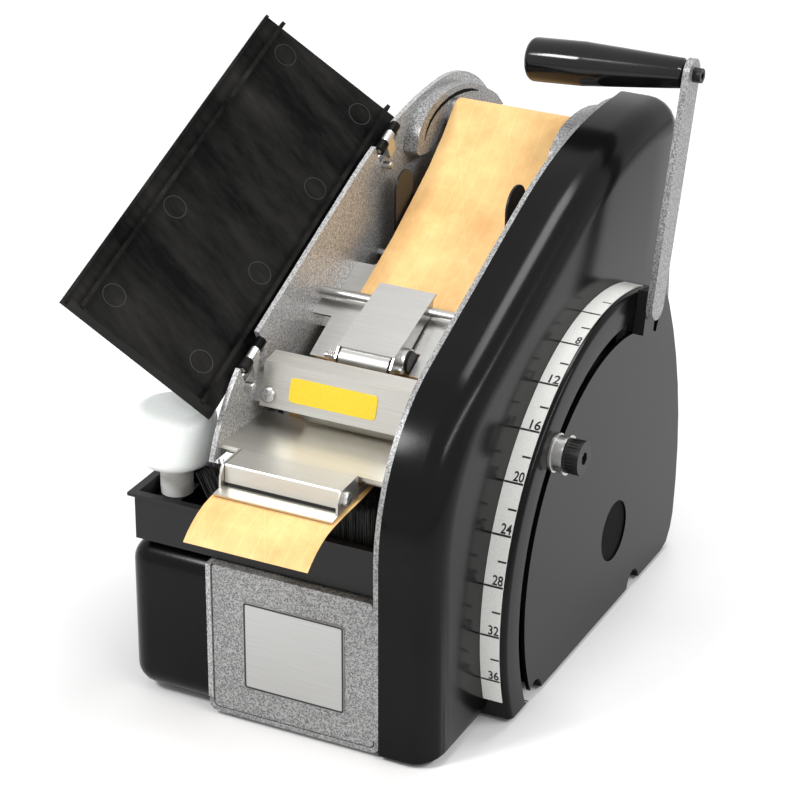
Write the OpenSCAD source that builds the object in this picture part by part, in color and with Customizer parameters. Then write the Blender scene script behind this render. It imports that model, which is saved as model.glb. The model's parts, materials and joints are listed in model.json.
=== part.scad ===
// Lever-operated gummed tape dispenser, rebuilt as separate pieces.
// Millimetres. X runs across the tape, Y from the front to the rear, Z up.
// The modules use the machine frame: X = 0 midway between the side plates,
// Y = 0 at the plates' front edges, Z = 0 on the table. place() then moves
// the whole machine to its origin, the centre of the base of its outer box.

/* [Frame] */
// Clear width between the side plates
channel_w = 103; // [97:0.5:110]
// Thickness of the side plates and of the base pan
sheet_t = 3; // [2.5:0.5:4]
// Height of the base pan over the table
foot_h = 3; // [2.5:0.5:6]
// Radius of the plates' front curve
nose_r = 105; // [100:1:110]
// Height at which the front curve starts
nose_z = 122; // [118:1:126]
// Slope of the plates' top edges, in degrees
top_slope = 23.4; // [22:0.1:25]
// Length of the straight slope
slope_len = 127.2; // [122:0.2:132]
// Radius of the long curve over the roll
crown_r = 290; // [280:1:300]
// Radius of the rear top corner
rear_r = 92; // [86:1:96]
// Height of the front panel's top edge
panel_top = 99; // [96:1:101]
// Gap left between pieces that only stand side by side
gap = 0.4; // [0.3:0.05:0.5]

/* [Crank cover] */
// Width of the cover beside the right plate
cover_w = 35.5; // [34:0.5:38]
// Depth of the cover, front to rear
cover_len = 343; // [338:1:350]
// Radius of the cover's rounded edges
cover_edge_r = 18; // [14:1:20]
// Wall thickness of the cover
cover_wall = 2.5; // [2:0.1:3]
// Height of the cover's lower edge
cover_z = 3; // [2:0.5:4]
// Radius of the round boss
boss_r = 150; // [147:1:152]
// Radius of the flatter arc at the boss's rear
boss_r2 = 260; // [256:1:264]
// Height of the boss over the cover's side
boss_h = 15.8; // [15:0.2:18]
// Rounding of the boss's rim
boss_edge_r = 3.5; // [2:0.5:4]
// Radius of the slot's middle line
slot_r = 128; // [125:1:130]
// Width of the slot
slot_w = 8; // [7.5:0.5:9]
// Angle at which the slot starts, from the rear, in degrees
slot_from = 60.4; // [58:0.2:61]
// Angle at which the slot ends
slot_to = 203.5; // [201:0.5:205]
// Lever pivot, distance from the front
pivot_y = 207; // [205:1:209]
// Lever pivot, height
pivot_z = 58; // [57:1:60]
// Angle at which the scale strip starts
scale_from = 72; // [70:1:80]
// Angle at which the scale strip ends
scale_to = 196; // [192:1:197]
// Thickness of the scale strip
scale_t = 0.6; // [0.4:0.1:0.8]

/* [Lever and stop] */
// Angle of the lever's foot, from the rear
lever_at = 75.8; // [75:0.2:77]
// Distance of the lever's foot outside the slot's middle line
lever_out = 14.6; // [14:0.2:15.6]
// Angle of the grip's axis, from the rear
grip_at = 74.1; // [73:0.1:75]
// Distance of the grip's axis from the lever's pivot
grip_reach = 278.9; // [275:0.5:283]
// Width of the lever bar
lever_w = 19; // [18:0.5:20]
// Thickness of the lever bar
lever_t = 4; // [3.5:0.5:5]
// Height of the spacer between cover and lever bar
block_h = 6.8; // [6:0.2:8]
// Droop of the grip's free end, in degrees
grip_droop = 4; // [3:0.5:5]
// Radius of the grip's free end
grip_r = 13.3; // [12:0.1:14]
// Radius of the grip beside the lever
grip_r2 = 9; // [8.5:0.5:10]
// Length of the grip
grip_len = 99; // [96:1:103]
// Radius of the grip's pin
grip_pin_r = 4; // [3.5:0.5:5]
// Angle of the stop knob on the slot
stop_at = 133; // [131:0.5:137]
// Height of the stop knob over the cover
stop_h = 18; // [17:0.5:20]

/* [Drive] */
// Radius of the lever's belt pulley
pulley_big_r = 46; // [44:1:48]
// Radius of the countershaft's small pulley
pulley_small_r = 9; // [8.5:0.5:10]
// Radius of the countershaft's large pulley
pulley2_big_r = 43; // [41:1:44]
// Radius of the feed shaft's pulley
pulley2_small_r = 8; // [7.5:0.5:9]
// Countershaft, distance from the front
counter_y = 150; // [149:1:152]
// Countershaft, height
counter_z = 85; // [83:1:86]
// Radius of the stub that the countershaft turns on
counter_r = 4; // [3.5:0.5:4.5]
// Thickness of the drive belts
belt_t = 1.6; // [1.2:0.2:2]
// Radial play of a shaft in its bore
run = 0.05; // [0.03:0.01:0.08]

/* [Tape path] */
// Width of the tape
tape_w = 76.2; // [74:0.1:77]
// Thickness of the tape as drawn
tape_t = 0.35; // [0.3:0.05:0.4]
// Radius of the full roll
roll_r = 85; // [80:1:86]
// Radius of the roll's core
core_r = 19.5; // [18:0.5:22]
// Wall of the roll's core
core_t = 3; // [2:0.5:4]
// Radius of the roll's axle
axle_r = 9; // [8:0.5:10]
// Roll axle, distance from the front
roll_y = 292; // [291:1:293]
// Roll axle, height
roll_z = 105; // [104:1:107]
// Radius of the guide bar over the roll
bar_r = 10; // [9:0.5:10.5]
// Guide bar, distance from the front
bar_y = 291; // [290:1:292]
// Guide bar, height
bar_z = 272.5; // [272:0.5:273]
// Radius of the feed wheel
wheel_r = 18.4; // [18:0.1:18.6]
// Feed shaft, distance from the front
feed_y = 97; // [96.8:0.1:97.4]
// Feed shaft, height
feed_z = 167.3; // [167:0.1:167.4]
// Radius of the feed shaft
feed_shaft_r = 4; // [3.5:0.5:4.5]
// Radius of the pressure roller
roller_r = 8; // [7.8:0.1:8.1]

/* [Water tank and brush] */
// Length of the tank, across the tape
tank_len = 153.5; // [151:0.5:154]
// Depth of the tank, front to rear
tank_w = 48; // [46:1:50]
// Height of the tank
tank_h = 29.7; // [28:0.1:31]
// Wall thickness of the tank
tank_wall = 2; // [1.5:0.1:2.5]
// Width of the tank's rim
tank_rim = 3; // [2:0.5:4]
// Bristle columns across the tape
bristle_cols = 44; // [36:1:46]
// Bristle rows, front to rear
bristle_rows = 8; // [6:1:8]
// Height of the bristles' tips
bristle_top = 153.8; // [152:0.2:154]
// Radius of the water bottle
bottle_r = 24; // [22:0.5:24.5]
// Height of the bottle's top
bottle_top = 176; // [170:1:178]

/* [Lid] */
// Length of the lid along the slope
lid_len = 250.6; // [247:0.2:253]
// Width of the lid
lid_w = 104.7; // [102:0.1:105]
// Thickness of the lid
lid_t = 2.5; // [2:0.1:3]
// Opening angle at which the lid stands
lid_open = 138.5; // [136:0.5:139]
// Distance from the hinge axis to the lid's inner face
lid_rise = 7.4; // [7.2:0.1:8]
// Depth of the hinge axis below the plates' top edge
lid_drop = 5.4; // [5.2:0.1:5.8]

/* [Hidden] */
$fn = 72;

px_in = channel_w / 2;
px_out = px_in + sheet_t;
pan_top = foot_h + 9;
slope_dir = [cos(top_slope), sin(top_slope)];
slope_up = [-sin(top_slope), cos(top_slope)];
nose_c = [nose_r, nose_z];
slope_p = nose_c + nose_r * slope_up;
crown_c = slope_p + slope_len * slope_dir - crown_r * slope_up;
rear_c = [crown_c[0], crown_c[1] + crown_r - rear_r];
frame_len = rear_c[0] + rear_r;

cover_x = px_out + cover_w;
face_x = cover_x + boss_h;
face_in = face_x - cover_wall;
bar_x0 = face_x + 0.3 + block_h;
bar_x1 = bar_x0 + lever_t;
pivot_c = [pivot_y, pivot_z];
slot_foot = pivot_c + slot_r * [cos(lever_at), sin(lever_at)];
lever_foot = pivot_c + (slot_r + lever_out) * [cos(lever_at), sin(lever_at)];
grip_c = pivot_c + grip_reach * [cos(grip_at), sin(grip_at)];
lever_lean = atan2(grip_c[1] - lever_foot[1], grip_c[0] - lever_foot[0]);
lever_len = norm(grip_c - lever_foot);
stop_c = pivot_c + slot_r * [cos(stop_at), sin(stop_at)];
stop_stud_r = 2.5;
boss_c2 = [55, 63];
hub_x0 = cover_x - 14;
hub_x1 = face_in - 2.3;
arm_t = 5;
belt1_x = hub_x0 + 0.5;
belt2_x = belt1_x - 16;
belt_w = 6;

roller_y = feed_y - 2;
roller_z = feed_z + wheel_r + tape_t + 0.55 + roller_r;
guard_screw_z = 7;
hood_rod = [136, 213.8];
hood_rod_r = 2.5;
fin_rod = [210, 209];
fin_rod_r = 3;
heater_rod = [24, 161];
heater_rod_r = 2;
roller_axle_r = 2;
roll_c = [roll_y, roll_z];
bar_c = [bar_y, bar_z];
tape_lift = 0.3;
web_ang = atan2(bar_z - roll_z, bar_y - roll_y)
    - acos((roll_r - bar_r) / norm(bar_c - roll_c));
roll_w = tape_w - 0.2;
bracket_in = tape_w / 2 + 4;

tank_x0 = -(px_out + 48);
tank_x1 = tank_x0 + tank_len;
tank_y0 = 5;
tank_z0 = panel_top + 2.3;
tank_top = tank_z0 + tank_h;
window_top = 160;
window_y = tank_y0 + tank_w + tank_rim + 6;
brush_z = tank_z0 + tank_wall;
brush_x1 = tank_x1 - 5;
brush_x0 = brush_x1 - 96;
brush_y0 = tank_y0 + tank_wall + 2.5;
brush_y1 = brush_y0 + 12.5;
bottle_c = [tank_x0 + 12, 32];
cap_r = 9.5;
cap_z = tank_top - 9;
shoulder_z = tank_top + 11;

lid_axis_x = -px_in + 0.8;
lid_start = -60.4;
lid_axis = slope_p + lid_start * slope_dir - lid_drop * slope_up;
lid_pins = [45.4, 227.6];
lid_arm_w = 7;
lid_arm_at = 4.7 + lid_arm_w / 2;
lid_skew = 3.2;
lid_taper = 5;
lid_pin_r = 1.5;
lid_far = [
    lid_axis_x - lid_w * cos(180 - lid_open) - (lid_rise + lid_t) * sin(lid_open),
    lid_w * sin(lid_open) - (lid_rise + lid_t) * cos(180 - lid_open)];

box_x0 = lid_far[0];
box_x1 = face_x + stop_h;
tongue_tip = [-50, 141];

// Outline of the side plates, taken in by d, from the base up to the rear.
function plate_outline(d, z0) = concat(
    [[d, z0]],
    [for (i = [0:16]) let (t = 180 - (90 - top_slope) * i / 16)
        nose_c + (nose_r - d) * [cos(t), sin(t)]],
    [for (i = [0:12]) let (t = 90 + top_slope * (1 - i / 12))
        crown_c + (crown_r - d) * [cos(t), sin(t)]],
    [for (i = [1:24]) let (t = 90 - 90 * i / 24)
        rear_c + (rear_r - d) * [cos(t), sin(t)]],
    [[frame_len - d, z0]]);

// Outline of the crank cover, taken in by d.
cover_corner = 23;
cover_top = rear_c[1] + rear_r;
function cover_outline(d) = let (r = max(cover_corner - d, 0.5)) concat(
    [[d, cover_z + d * 0.3]],
    [for (i = [0:16]) let (t = 180 - (90 - top_slope) * i / 16)
        nose_c + (nose_r - d) * [cos(t), sin(t)]],
    [for (i = [0:12]) let (t = 90 + top_slope * (1 - i / 12))
        crown_c + (crown_r - d) * [cos(t), sin(t)]],
    [for (i = [1:8]) let (t = 90 - 90 * i / 8)
        [cover_len - d - r, cover_top - d - r] + r * [cos(t), sin(t)]],
    [[cover_len - d, cover_z + d * 0.3]]);

function rounded(y0, z0, y1, z1, r) = [for (c = [0:3]) for (i = [0:6])
    let (t = 90 * c + 15 * i)
    [(c == 0 || c == 3 ? y1 - r : y0 + r) + r * cos(t),
     (c < 2 ? z1 - r : z0 + r) + r * sin(t)]];

function side(p, i) = let (
    a = p[max(i - 1, 0)],
    b = p[min(i + 1, len(p) - 1)],
    v = (b - a) / norm(b - a)) [-v[1], v[0]];
function band(p, t) = concat(p,
    [for (i = [len(p) - 1:-1:0]) p[i] + t * side(p, i)]);

// The tape from the cutter back over the feed wheel and the bar to the roll.
web_low = [[78, 176.5], [84, 181.5], [90, 184.9], [feed_y - 1, feed_z + wheel_r + 0.4],
    [104, 186.9], [120, 190.8], [143, 198], [165, 208], [201, 224.5], [232, 242],
    [250, 252.5], [269, 266.5]];
web_path = concat(web_low,
    [for (i = [0:12]) let (t = 130 - (130 - web_ang) * i / 12)
        bar_c + (bar_r + tape_lift) * [cos(t), sin(t)]],
    [roll_c + (roll_r + tape_lift) * [cos(web_ang), sin(web_ang)]]);
// The cut end that lies over the brush and hangs out at the front.
tongue_path = [tongue_tip, [-45.5, 144.6], [-40, 148], [-34, 150.8], [-27, 153],
    [-19, 154.2], [-9, 155], [12, 155.6], [24, 156.6], [40, 158.2], [60, 159.8],
    [66, 160.9], [69.2, 163.4], [70.6, 166.6], [72, 170.5]];
box_y0 = tongue_tip[0] + tape_t * side(tongue_path, 0)[0];
box_y1 = frame_len;

module place() {
    translate([-(box_x0 + box_x1) / 2, -(box_y0 + box_y1) / 2, 0]) children();
}

// A flat shape drawn in Y and Z, given thickness along X from x0.
module yz(x0, t) {
    translate([x0, 0, 0]) rotate([90, 0, 90]) linear_extrude(t) children();
}

// A flat shape drawn in X and Z, given thickness along Y from y0.
module xz(y0, t) {
    translate([0, y0 + t, 0]) rotate([90, 0, 0]) linear_extrude(t) children();
}

module xrod(x0, x1, c, r) {
    translate([x0, c[0], c[1]]) rotate([0, 90, 0]) cylinder(h = x1 - x0, r = r);
}

module yrod(y0, y1, x, z, r) {
    translate([x, y0, z]) rotate([-90, 0, 0]) cylinder(h = y1 - y0, r = r);
}

// Turns a profile of radius and X about the lever's pivot line.
module about_pivot(a0, a1) {
    translate([0, pivot_y, pivot_z]) rotate([90, 0, 90]) rotate([0, 0, a0])
        rotate_extrude(angle = a1 - a0, $fn = 240) children();
}

// A closed skin over outlines with equal numbers of points, in order along X.
module loft(rings, xs) {
    n = len(rings[0]);
    m = len(rings);
    points = [for (i = [0:m - 1]) for (p = rings[i]) [xs[i], p[0], p[1]]];
    polyhedron(points, concat(
        [[for (j = [n - 1:-1:0]) j]],
        [[for (j = [0:n - 1]) (m - 1) * n + j]],
        [for (i = [0:m - 2], j = [0:n - 1], k = [0, 1])
            let (a = i * n + j, b = i * n + (j + 1) % n)
            k == 0 ? [a, b, a + n] : [b, b + n, a + n]]), convexity = 6);
}

module pan_head(r, h) {
    rotate_extrude($fn = 32) polygon(concat([[0, 0], [r, 0]],
        [for (i = [0:6]) [r - h * 0.6 * (1 - cos(15 * i)), h * 0.4 + h * 0.6 * sin(15 * i)]],
        [[0, h]]));
}

// One continuous wound wire along X.
module coil(turns, ring_r, wire_r, pitch) {
    n = turns * 8;
    ring = [for (i = [0:n]) for (j = [0:5])
        let (a = 45 * i, b = 60 * j, q = ring_r + wire_r * cos(b))
        [pitch * i / 8 + wire_r * sin(b), q * cos(a), q * sin(a)]];
    faces = concat(
        [for (i = [0:n - 1]) for (j = [0:5])
            [i * 6 + j, i * 6 + (j + 1) % 6, (i + 1) * 6 + (j + 1) % 6, (i + 1) * 6 + j]],
        [[5, 4, 3, 2, 1, 0]],
        [[for (j = [0:5]) n * 6 + j]]);
    polyhedron(ring, faces, convexity = 8);
}

// Frame

module base_pan() {
    color([0.33, 0.34, 0.35]) difference() {
        translate([0, 1, 0]) xz(0, frame_len - 3) difference() {
            intersection() {
                polygon(rounded(-px_out, foot_h, px_out, foot_h + 40, 5));
                translate([-px_out, foot_h]) square([2 * px_out, pan_top - foot_h]);
            }
            polygon(rounded(-px_in, foot_h + sheet_t, px_in, foot_h + 60, 2.5));
        }
        for (x = [-44, 44], y = [30, frame_len - 37])
            translate([x, y, 0]) cylinder(h = 30, r = 2);
    }
}

module side_plate() {
    yz(0, sheet_t) difference() {
        polygon(plate_outline(0, pan_top));
        translate([feed_y, feed_z]) circle(r = feed_shaft_r + run);
    }
}

module left_side_plate() {
    color([0.40, 0.41, 0.42]) difference() {
        translate([-px_out, 0, 0]) side_plate();
        translate([-px_out - 1, -1, panel_top])
            cube([sheet_t + 2, window_y + 1, window_top - panel_top]);
        lid_frame() for (u = lid_pins)
            translate([-6, u - lid_arm_at - lid_arm_w / 2 - 1, -9.5])
                cube([5.21, 2 * lid_arm_at + lid_arm_w + 2, 30]);
    }
}

module right_side_plate() {
    color([0.40, 0.41, 0.42]) translate([px_in, 0, 0]) side_plate();
}

module front_panel() {
    color([0.42, 0.43, 0.44]) {
        xz(1, 2) polygon(rounded(-px_in + 0.6, foot_h + sheet_t + 0.6,
            px_in - 0.6, panel_top, 2.5));
        translate([-px_in, 3, panel_top - 2]) cube([2 * px_in, window_y - 6, 2]);
    }
}

module name_plate() {
    color([0.72, 0.72, 0.72]) xz(0.2, 0.8) polygon(rounded(-31, 24, 33, 80, 2));
}

module feet() {
    color([0.10, 0.10, 0.10]) {
        for (x = [-44, 44], y = [30, frame_len - 37]) foot(x, y);
        for (y = [40, 262]) foot(-84, y);
    }
}

module foot(x, y) {
    translate([x, y, 0]) rotate_extrude() difference() {
        polygon([[0, 0], [8, 0], [9, 1], [9.5, foot_h], [0, foot_h]]);
        translate([-1, -1]) square([3.5, 2.5]);
    }
}

module cross_rods() {
    color([0.62, 0.62, 0.63]) {
        for (c = [[70, 60], [frame_len - 14, 30], [frame_len - 22, 236]])
            xrod(-px_in, px_in, c, 4);
        xrod(-px_in, px_in, heater_rod, heater_rod_r);
        xrod(-px_in, px_in, hood_rod, hood_rod_r);
        xrod(-px_in, px_in, fin_rod, fin_rod_r);
    }
}

module housing_shell(d) {
    r = 14 - d;
    x0 = -(px_out + 54.5) + d;
    steps = [10:16:90];
    loft(concat(
            [for (a = steps) housing_ring(d + r * (1 - sin(a)), r * sin(a))],
            [housing_ring(d, r)]),
        concat([for (a = steps) x0 + r * (1 - cos(a))], [-px_out + (d > 0 ? 1 : 0)]));
}

function housing_ring(d, r) = let (
    p = rounded(3 + d, foot_h + d, 300 - d, panel_top - 0.5 - d, r))
    [for (i = [len(p) - 1:-1:0]) p[i]];

module left_housing() {
    color([0.06, 0.06, 0.065]) difference() {
        housing_shell(0);
        housing_shell(cover_wall);
        yrod(290, 310, -84, 46, 6.2);
    }
}

module cord_gland() {
    color([0.08, 0.08, 0.08]) difference() {
        union() {
            yrod(292, 306, -84, 46, 6.2);
            yrod(300, 303.5, -84, 46, 11);
            yrod(303.5, 313, -84, 46, 7.5);
        }
        yrod(290, 314, -84, 46, 3.6);
    }
}

module rear_panel() {
    color([0.40, 0.41, 0.42]) xz(frame_len - 4, 1.5)
        polygon(rounded(-px_in, foot_h + sheet_t + 0.6, px_in, rear_c[1] + 8, 5));
}

// Crank cover

module cover_shell(d) {
    s = cover_edge_r - d;
    loft(concat([cover_outline(d)],
            [for (a = [0:15:90]) cover_outline(d + s * (1 - cos(a)))]),
        concat([px_out - (d > 0 ? 1 : 0)], [for (a = [0:15:90]) cover_x - d - s * (1 - sin(a))]));
}

module boss(d, x0) {
    e = max(boss_edge_r - d, 0.5);
    intersection() {
        about_pivot(0, 360) polygon(concat([[0, x0], [boss_r - d, x0]],
            [for (i = [0:6]) [boss_r - d - e + e * cos(15 * i), face_x - d - e + e * sin(15 * i)]],
            [[0, face_x - d]]));
        yz(x0 - 1, 60) polygon(concat([[-100, cover_z + d], [294 - d, cover_z + d],
            [302.5 - d, cover_z + d * 0.9 + 2.5], [308.5 - d, cover_z + d * 0.6 + 10]],
            [for (t = [-9:5:51]) boss_c2 + (boss_r2 - d) * [cos(t), sin(t)]],
            [[100, 400], [-100, 400]]));
    }
}

module right_cover() {
    color([0.05, 0.05, 0.055]) difference() {
        union() {
            cover_shell(0);
            boss(0, cover_x - 5);
        }
        cover_shell(cover_wall);
        boss(cover_wall, cover_x - 10);
        about_pivot(slot_from, slot_to) translate([slot_r - slot_w / 2, face_in - 1])
            square([slot_w, cover_wall + 2]);
        xrod(face_in - 1, face_x + 1,
            pivot_c + slot_r * [cos(slot_to), sin(slot_to)], slot_w / 2 - 0.02);
        for (y = [100, 247]) xrod(cover_x - 6, face_x + 1, [y, cover_z], 9);
        xrod(face_x - 1.2, face_x + 1, [pivot_y + 6, pivot_z - 2], 19);
    }
}

module scale_strip() {
    color([0.93, 0.93, 0.91]) about_pivot(scale_from, scale_to)
        translate([boss_r + 0.05, cover_x + 0.2])
            square([scale_t, boss_h - boss_edge_r - 0.4]);
}

// Tape path between the plates

module crescent() {
    polygon([[241.5, 264], [243.5, 273], [248, 279.5], [255, 284], [263, 287.4], [272, 289],
        [283, 289.6], [293, 289.2], [304, 287.6], [315, 284.8], [326, 280.6], [337, 275],
        [347, 269.6], [356, 264], [366, 254], [352, 257], [334, 260.5], [314, 262],
        [292, 262], [275, 260.8], [262, 259], [251, 259.6], [244, 261.4]]);
}

module bar_brackets() {
    color([0.45, 0.46, 0.47]) {
        yz(bracket_in, px_in - bracket_in) crescent();
        yz(-px_in, px_in - bracket_in) crescent();
    }
}

module top_guide_bar() {
    color([0.62, 0.62, 0.63]) xrod(-bracket_in, bracket_in, bar_c, bar_r);
}

module tape_guide() {
    color([0.66, 0.66, 0.67]) {
        difference() {
            translate([0, 100, 189]) rotate([26, 0, 0]) union() {
                translate([-40, 0, 0]) cube([80, 49, 1.4]);
                translate([-px_in, 30, 0]) cube([2 * px_in, 12, 1.4]);
            }
            translate([-18.7, 90, 180]) cube([42.2, 24, 30]);
        }
        xrod(-40, 40, [144, 210.9], 2);
    }
}

module tape_bed() {
    color([0.60, 0.60, 0.61]) translate([0, 135, 190.5]) rotate([25.5, 0, 0]) {
        translate([-px_in, 0, 0]) cube([2 * px_in, 52, 1.5]);
        translate([-40, 49, -14]) cube([80, 1.5, 15]);
        xrod(-40, 40, [52, -0.6], 2.4);
    }
}

module blade_guard() {
    color([0.74, 0.74, 0.75]) difference() {
        union() {
            yz(-px_in + 4.5, 2 * px_in - 4.5) polygon([[72.5, 203], [60.2, 201.4], [52, 177],
                [53.4, 176.4], [61.5, 199.9], [72.7, 201.4]]);
            yz(-22, 69) polygon([[52, 177], [62.4, 167.3], [63.3, 168.4], [53.4, 177.5]]);
        }
        for (x = [-42, 46]) guard_hole(x, 2.6);
        translate([42, 50, 160]) cube([3, 20, 12]);
    }
}

module guard_frame() {
    translate([0, 52, 177]) rotate([-18.8, 0, 0]) children();
}

module guard_hole(x, r) {
    guard_frame() translate([x, -5, guard_screw_z]) rotate([-90, 0, 0]) cylinder(h = 12, r = r);
}

module guard_label() {
    color([0.93, 0.80, 0.20]) guard_frame() translate([-2, -0.42, 5.5])
        xz(0, 0.3) polygon(rounded(-27.3, 0, 27.3, 14, 2.5));
}

module guard_screws() {
    color([0.75, 0.75, 0.76]) for (x = [-42, 46]) guard_frame()
        translate([x, -0.05, guard_screw_z]) rotate([90, 0, 0]) {
            difference() {
                pan_head(4.6, 3);
                translate([-0.6, -2.6, 1.6]) cube([1.2, 5.2, 3]);
                translate([-2.6, -0.6, 1.6]) cube([5.2, 1.2, 3]);
            }
            translate([0, 0, -6]) cylinder(h = 6.1, r = 2.2);
        }
}

module blade_bar() {
    color([0.58, 0.58, 0.59]) difference() {
        yz(-px_in, 2 * px_in) polygon([[61.2, 198.3], [54.2, 178], [71.9, 178], [71.9, 198.3]]);
        for (x = [-42, 46]) guard_hole(x, 2.2);
    }
}

module fixed_blade() {
    color([0.70, 0.71, 0.73]) yz(-46, 92) polygon([[71.9, 197.5], [71.9, 181], [73.9, 179.5],
        [74.4, 179.5], [74.4, 197.5]]);
}

module moving_blade() {
    color([0.70, 0.71, 0.73]) yz(-48, 96) polygon([[74.8, 152], [77.3, 152], [77.3, 169.5],
        [75.4, 171], [74.8, 171]]);
}

module blade_guides() {
    color([0.50, 0.50, 0.51]) for (s = [0, 1]) mirror([s, 0, 0]) difference() {
        translate([px_in - 6, 71, 148]) cube([6, 10, 29]);
        translate([px_in - 7, 74.8 - gap, 140]) cube([7 - 2.8, 2.5 + 2 * gap, 60]);
    }
}

module platen() {
    color([0.74, 0.74, 0.75]) yz(-px_in, 2 * px_in) polygon([[14.2, 166.2], [14.2, 168.4],
        [66.8, 166.3], [68, 165.2], [67.6, 164.2]]);
}

module roll_axle() {
    color([0.62, 0.62, 0.63]) xrod(-px_in, px_in, roll_c, axle_r);
}

module tape_web() {
    color([0.72, 0.55, 0.36]) yz(-tape_w / 2, tape_w) polygon(band(web_path, tape_t));
}

module tape_tongue() {
    color([0.72, 0.55, 0.36]) yz(-tape_w / 2, tape_w) polygon(band(tongue_path, tape_t));
}

module tape_roll() {
    color([0.70, 0.53, 0.34]) difference() {
        xrod(-roll_w / 2, roll_w / 2, roll_c, roll_r);
        xrod(-roll_w, roll_w, roll_c, core_r);
    }
}

module roll_core() {
    color([0.60, 0.48, 0.34]) difference() {
        xrod(-roll_w / 2, roll_w / 2, roll_c, core_r);
        xrod(-roll_w, roll_w, roll_c, core_r - core_t);
    }
}

module roll_hubs() {
    color([0.15, 0.15, 0.16]) for (s = [0, 1]) mirror([s, 0, 0]) difference() {
        union() {
            xrod(roll_w / 2 - 14, roll_w / 2 + 2.5, roll_c, core_r - core_t);
            xrod(roll_w / 2, roll_w / 2 + 2.5, roll_c, core_r + 6);
        }
        xrod(0, roll_w, roll_c, axle_r + run);
    }
}

module fin(x0, y0, y1, top) {
    w = y1 - y0;
    r = w / 2;
    difference() {
        union() {
            yz(x0, 1.2) {
                translate([y0, 200]) square([w, top - r - 200]);
                translate([y0 + r, top - r]) circle(r = r);
                translate(fin_rod) circle(r = 9);
            }
            xrod(x0 > 0 ? x0 : x0 - 1.5, x0 > 0 ? x0 + 2.7 : x0 + 1.2, fin_rod, 6);
        }
        xrod(x0 - 5, x0 + 5, fin_rod, fin_rod_r + run);
    }
}

module left_guide_fin() {
    color([0.30, 0.30, 0.31]) fin(-tape_w / 2 - 2.6, 208.5, 231, 261);
}

module right_guide_fin() {
    color([0.30, 0.30, 0.31]) fin(tape_w / 2 + 1.4, 191, 218, 271);
}

// Pressure roller and its hood

module pressure_roller() {
    color([0.66, 0.66, 0.67]) difference() {
        xrod(-15.5, 15.5, [roller_y, roller_z], roller_r);
        xrod(-20, 20, [roller_y, roller_z], roller_axle_r + run);
    }
}

module roller_axle() {
    color([0.62, 0.62, 0.63]) xrod(-27, 21.5, [roller_y, roller_z], roller_axle_r);
}

module roller_hood() {
    color([0.45, 0.45, 0.46]) difference() {
        union() {
            yz(-18, 36) polygon([[92, 203.5], [145.5, 221.5], [145.9, 220.3], [92.4, 202.3]]);
            for (x = [-18, 16.8]) yz(x, 1.2) polygon([[92.2, 203], [87.5, 197.5], [88, 191.5],
                [91.5, 188.7], [98, 188.7], [103, 191.4], [112, 199], [130, 207.6],
                [138, 210.4], [140.6, 213.4], [142.4, 219.9]]);
            xrod(18, 21.5, [104, 196], 8);
        }
        xrod(-30, 30, hood_rod, hood_rod_r + run);
        xrod(-30, 30, [roller_y, roller_z], roller_axle_r);
        xrod(17.5, 25, [106, 197], 2.6);
    }
}

module hood_spring() {
    color([0.70, 0.70, 0.71]) translate([-24.6, roller_y, roller_z]) coil(4, 3.6, 0.4, 1.4);
}

// Heater and pressure bracket

module heater_block() {
    color([0.72, 0.72, 0.73]) difference() {
        yz(-35.2, 70.4) polygon([[-9, 157.5], [-8.2, 169.2], [-7.4, 169.9], [11.5, 170.3],
            [11.5, 157.5]]);
        xrod(-40, 30, [2, 164], 3.1);
        for (s = [-1, 1]) xrod(s > 0 ? 28 : -36, s > 0 ? 36 : -28, [-4, 164], 1.5);
    }
}

module heater_element() {
    color([0.80, 0.80, 0.80]) xrod(-35, 29.9, [2, 164], 3.1);
}

module u_bracket() {
    color([0.74, 0.74, 0.75]) {
        yz(-36.7, 73.4) polygon([[-19, 155.2], [-9.2, 156.3], [11.5, 156.3], [11.5, 157.5],
            [-9.4, 157.5], [-19.2, 156.4]]);
        for (x = [-36.7, 35.5]) difference() {
            yz(x, 1.2) {
                polygon([[-13, 156.2], [-12.5, 164], [-8.5, 170], [11.5, 170.8], [11.5, 156.5]]);
                polygon([[11, 158.2], [11, 161.8], [24, 163], [24, 158.2]]);
                translate(heater_rod) circle(r = 3.2);
            }
            xrod(x - 1, x + 3, heater_rod, heater_rod_r + run);
            translate([x - 1, -4, 164]) rotate([35, 0, 0]) {
                translate([0, -3, -1.7]) cube([4, 6, 3.4]);
                for (y = [-3, 3]) xrod(0, 4, [y, 0], 1.7);
            }
        }
    }
}

module bracket_screws() {
    color([0.78, 0.78, 0.79]) for (s = [0, 1]) mirror([s, 0, 0]) {
        translate([36.72, -4, 164]) rotate([0, 90, 0]) difference() {
            pan_head(4, 2.8);
            rotate([0, 0, 30]) translate([-0.5, -5, 1.8]) cube([1, 10, 3]);
        }
        xrod(29, 36.8, [-4, 164], 1.5);
    }
}

// Water tank, brush and bottle

module water_tank() {
    color([0.07, 0.07, 0.075]) {
        difference() {
            union() {
                translate([tank_x0, tank_y0, tank_z0]) cube([tank_len, tank_w, tank_h]);
                translate([tank_x0 - tank_rim, tank_y0 - tank_rim, tank_top - 2])
                    cube([tank_len + tank_rim, tank_w + 2 * tank_rim, 2]);
            }
            translate([tank_x0 + tank_wall, tank_y0 + tank_wall, tank_z0 + tank_wall])
                cube([tank_len - 2 * tank_wall, tank_w - 2 * tank_wall, tank_h]);
        }
        translate([bottle_c[0] - 8, bottle_c[1] - 13, tank_z0 + 1])
            cube([16, 26, cap_z - tank_z0 - 1.3]);
    }
}

module brush_holder() {
    color([0.12, 0.12, 0.13]) translate([brush_x0, brush_y0, brush_z])
        cube([brush_x1 - brush_x0, brush_y1 - brush_y0, 9]);
}

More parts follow.
